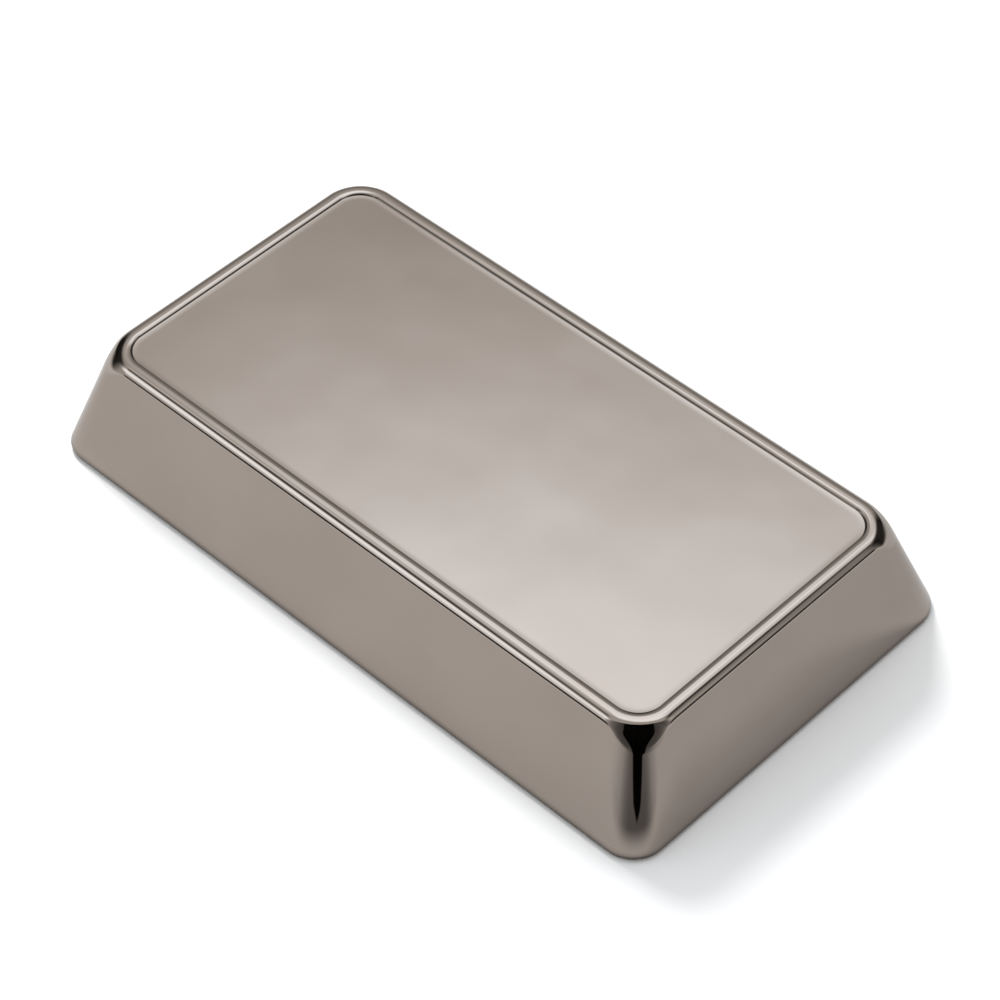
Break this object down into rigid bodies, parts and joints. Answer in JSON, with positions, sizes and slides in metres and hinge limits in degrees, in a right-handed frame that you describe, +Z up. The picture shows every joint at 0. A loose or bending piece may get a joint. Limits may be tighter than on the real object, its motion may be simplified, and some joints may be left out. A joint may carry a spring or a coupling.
{
  "type": "platinum bar",
  "caption": "Polished cast platinum bar, a low block with sloping sides, rounded corners, a softly rounded top edge and a shallow plain panel sunk inside a narrow raised rim.",
  "frame": {"origin": "centre of the base, on the surface that the bar lies on", "axes": "+X along the length, +Y across the width, +Z up out of the sunk panel"},
  "size_m": [0.0846, 0.0476, 0.0134],
  "materials": {
    "platinum": "polished"
  },
  "bodies": {
    "root": {"bar": "platinum"}
  },
  "joints": []
}
